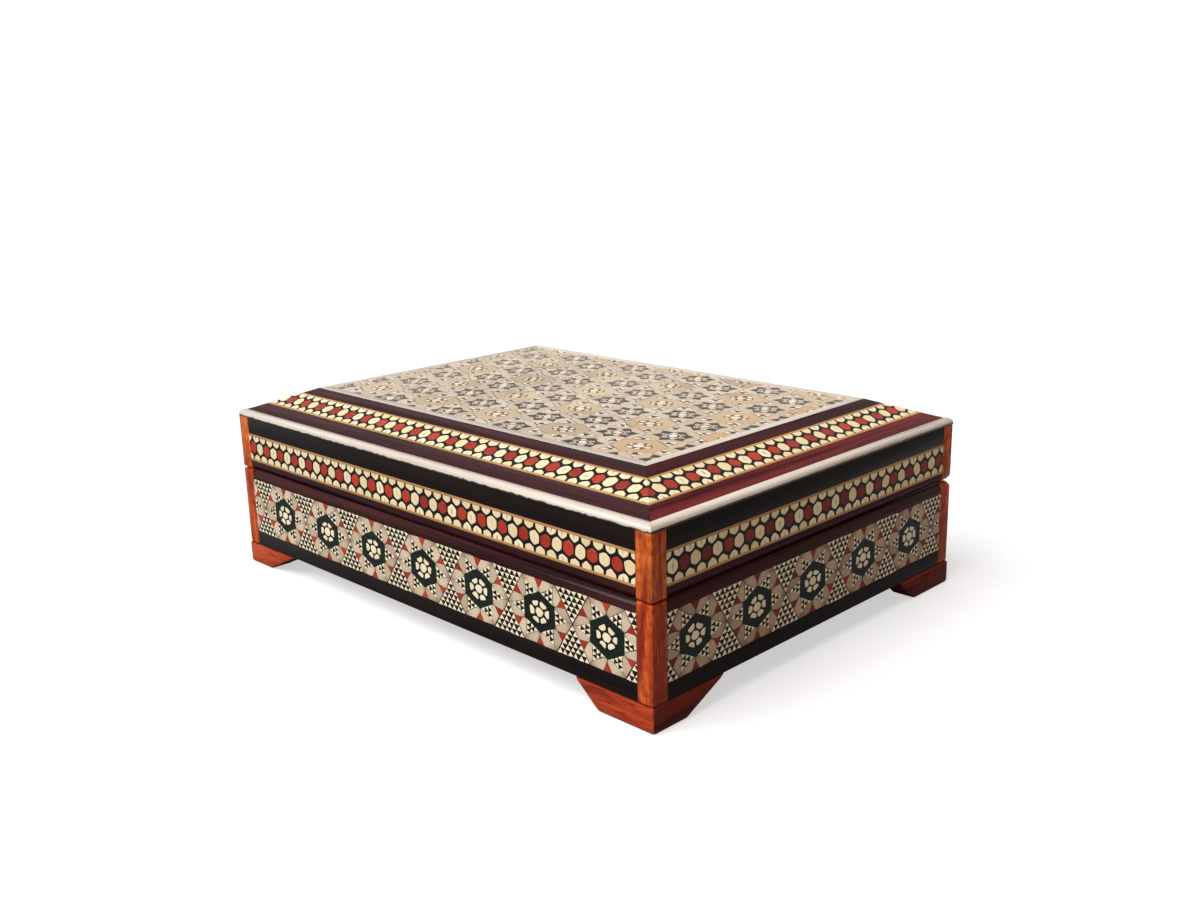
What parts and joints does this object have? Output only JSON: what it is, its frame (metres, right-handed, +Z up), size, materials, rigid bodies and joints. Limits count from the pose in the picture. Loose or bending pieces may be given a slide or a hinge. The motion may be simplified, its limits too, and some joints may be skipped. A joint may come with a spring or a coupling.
{
  "type": "inlaid wooden box",
  "caption": "Rectangular wooden box with star and hexagon mosaics, solid corner posts, bracket feet and a bevelled lid hinged at the back.",
  "frame": {"origin": "on the ground under the middle of the box", "axes": "+X along the long side, towards the right-hand end seen from the front; the front faces -Y; +Z up"},
  "size_m": [0.1508, 0.1106, 0.0483],
  "materials": {
    "carcass_wood": "satin",
    "rosewood": "gloss",
    "ebonised_wood": "gloss",
    "padauk_wood": "gloss",
    "foot_wood": "gloss",
    "light_wood": "gloss",
    "white_stringing": "gloss",
    "star_mosaic": "gloss",
    "hexagon_mosaic": "gloss",
    "red_velvet": "matte",
    "brass": "satin",
    "steel": "satin"
  },
  "bodies": {
    "base": {"base_floor": "carcass_wood", "base_wall_front": "carcass_wood", "base_wall_right": "carcass_wood", "base_wall_back": "carcass_wood", "base_wall_left": "carcass_wood", "base_post_front_right": "padauk_wood", "base_post_back_right": "padauk_wood", "base_post_back_left": "padauk_wood", "base_post_front_left": "padauk_wood", "base_rim_front": "rosewood", "base_rim_right": "rosewood", "base_rim_back": "rosewood", "base_rim_left": "rosewood", "base_bottom_bands": "ebonised_wood", "base_mosaic_front": "star_mosaic", "base_mosaic_right": "star_mosaic", "base_mosaic_back": "star_mosaic", "base_mosaic_left": "star_mosaic", "foot_front_right": "foot_wood", "foot_back_right": "foot_wood", "foot_back_left": "foot_wood", "foot_front_left": "foot_wood", "base_lining_floor": "red_velvet", "base_lining_sides": "red_velvet", "hinge_left_base_leaf": "brass", "hinge_right_base_leaf": "brass", "hinge_pins": "steel", "hinge_base_screws": "brass"},
    "lid": {"lid_wall_front": "carcass_wood", "lid_wall_right": "carcass_wood", "lid_wall_back": "carcass_wood", "lid_wall_left": "carcass_wood", "lid_post_front_right": "padauk_wood", "lid_post_back_right": "padauk_wood", "lid_post_back_left": "padauk_wood", "lid_post_front_left": "padauk_wood", "lid_rim_front": "rosewood", "lid_rim_right": "rosewood", "lid_rim_back": "rosewood", "lid_rim_left": "rosewood", "lid_side_lines": "light_wood", "lid_mosaic_front": "hexagon_mosaic", "lid_mosaic_right": "hexagon_mosaic", "lid_mosaic_back": "hexagon_mosaic", "lid_mosaic_left": "hexagon_mosaic", "lid_black_bands": "ebonised_wood", "lid_edge_stringing": "white_stringing", "lid_bevel_rails": "carcass_wood", "lid_bevel_lower_bands": "rosewood", "lid_bevel_mosaics": "hexagon_mosaic", "lid_bevel_lines": "light_wood", "lid_bevel_upper_bands": "rosewood", "lid_top_board": "carcass_wood", "lid_top_stringing": "white_stringing", "lid_top_mosaic": "star_mosaic", "lid_lining_top": "red_velvet", "lid_lining_sides": "red_velvet", "hinge_left_lid_leaf": "brass", "hinge_right_lid_leaf": "brass", "hinge_lid_screws": "brass"}
  },
  "joints": [
    {"name": "lid_hinge", "type": "hinge", "parent": "base", "child": "lid", "pos_m": [0, 0.054, 0.02705], "axis": [-1, 0, 0], "range_deg": [0, 95]}
  ]
}
